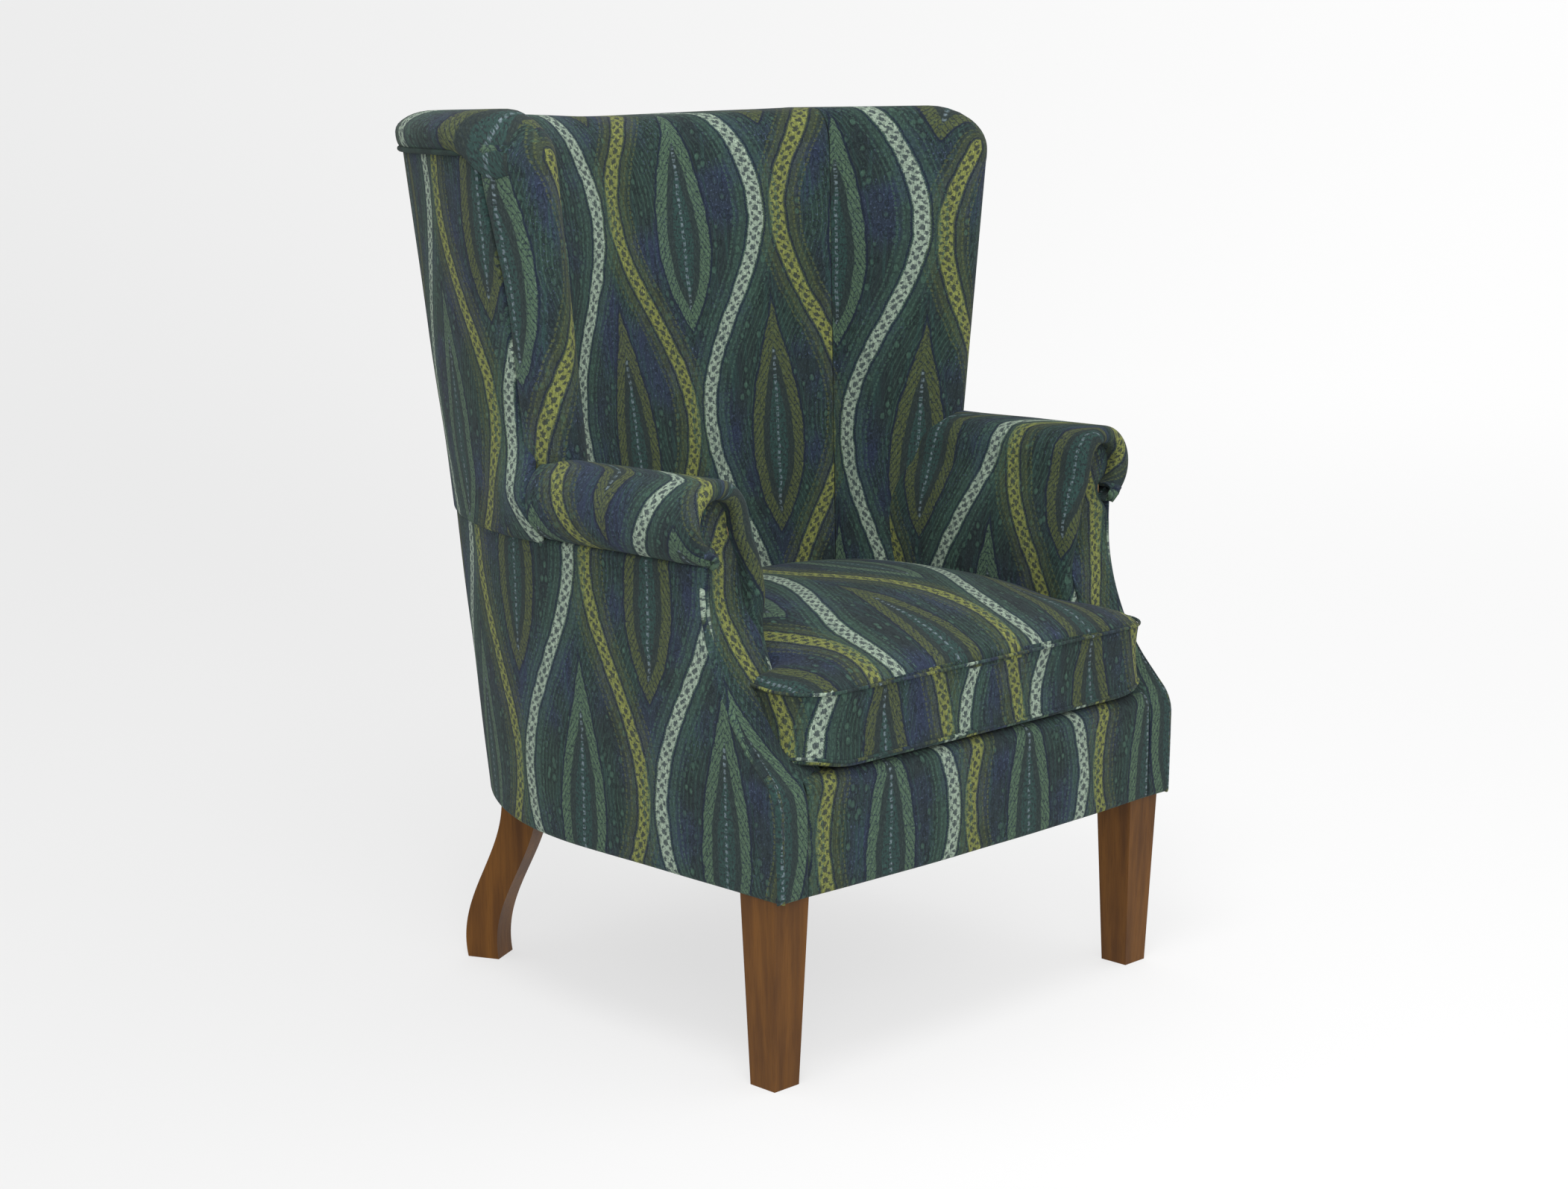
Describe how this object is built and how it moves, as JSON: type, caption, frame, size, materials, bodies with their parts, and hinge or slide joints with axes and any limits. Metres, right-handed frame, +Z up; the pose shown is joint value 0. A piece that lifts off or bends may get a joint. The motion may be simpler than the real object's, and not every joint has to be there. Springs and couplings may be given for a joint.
{
  "type": "upholstered wing tub armchair",
  "caption": "Wing-back tub armchair with scroll arms, a rolled top edge, a loose T-shaped seat cushion with a rear zip, tapered wooden front legs and swept rear legs.",
  "frame": {"origin": "centre of the bounding box on the floor under the four feet", "axes": "+X to the sitter's left as seen from the front (right in a front view), +Y to the rear, +Z up"},
  "size_m": [0.796, 0.7609, 1.035],
  "materials": {
    "leg_wood": "stained and varnished, satin",
    "frame_wood": "bare sawn hardwood",
    "steel": "zinc plated",
    "webbing": "woven elastic strap",
    "deck_cloth": "plain felted cloth over padding",
    "black_cloth": "thin non-woven cloth",
    "print_fabric": "printed woven linen, matt",
    "padding": "soft foam and fibre",
    "zip_cloth": "woven tape with moulded coil",
    "zip_metal": "antique nickel"
  },
  "bodies": {
    "chair": {"front_leg_left": "leg_wood", "front_leg_right": "leg_wood", "rear_leg_left": "leg_wood", "rear_leg_right": "leg_wood", "front_rail": "frame_wood", "rear_rail": "frame_wood", "top_rail": "frame_wood", "lumbar_rail": "frame_wood", "side_rail_left": "frame_wood", "side_rail_right": "frame_wood", "front_block_left": "frame_wood", "front_block_right": "frame_wood", "rear_block_left": "frame_wood", "rear_block_right": "frame_wood", "arm_post_left": "frame_wood", "arm_post_right": "frame_wood", "arm_rail_left": "frame_wood", "arm_rail_right": "frame_wood", "wing_post_left": "frame_wood", "wing_post_right": "frame_wood", "back_post_left": "frame_wood", "back_post_right": "frame_wood", "leg_bolts": "steel", "seat_webbing_long": "webbing", "seat_webbing_cross": "webbing", "back_webbing": "webbing", "seat_deck": "deck_cloth", "dust_cover": "black_cloth", "front_border": "print_fabric", "inside_back": "print_fabric", "crest_roll": "print_fabric", "outside_back": "print_fabric", "inside_arm_left": "print_fabric", "inside_arm_right": "print_fabric", "arm_facing_left": "print_fabric", "arm_facing_right": "print_fabric", "wing_pad_left": "print_fabric", "wing_pad_right": "print_fabric", "wing_roll_left": "print_fabric", "wing_roll_right": "print_fabric", "outside_arm_left": "print_fabric", "outside_arm_right": "print_fabric", "outside_wing_left": "print_fabric", "outside_wing_right": "print_fabric"},
    "seat_cushion": {"cushion_cover": "print_fabric", "cushion_core": "padding", "zip_tape": "zip_cloth"},
    "zip_slider": {"zip_slider": "zip_metal"}
  },
  "joints": [
    {"name": "cushion_lift", "type": "slide", "parent": "chair", "child": "seat_cushion", "axis": [0, -0.7071, 0.7071], "range_m": [0, 0.6]},
    {"name": "zip_run", "type": "hinge", "parent": "seat_cushion", "child": "zip_slider", "pos_m": [0, -0.40963, 0.3853], "axis": [0, 0, -1], "range_deg": [0, 34.6]}
  ]
}
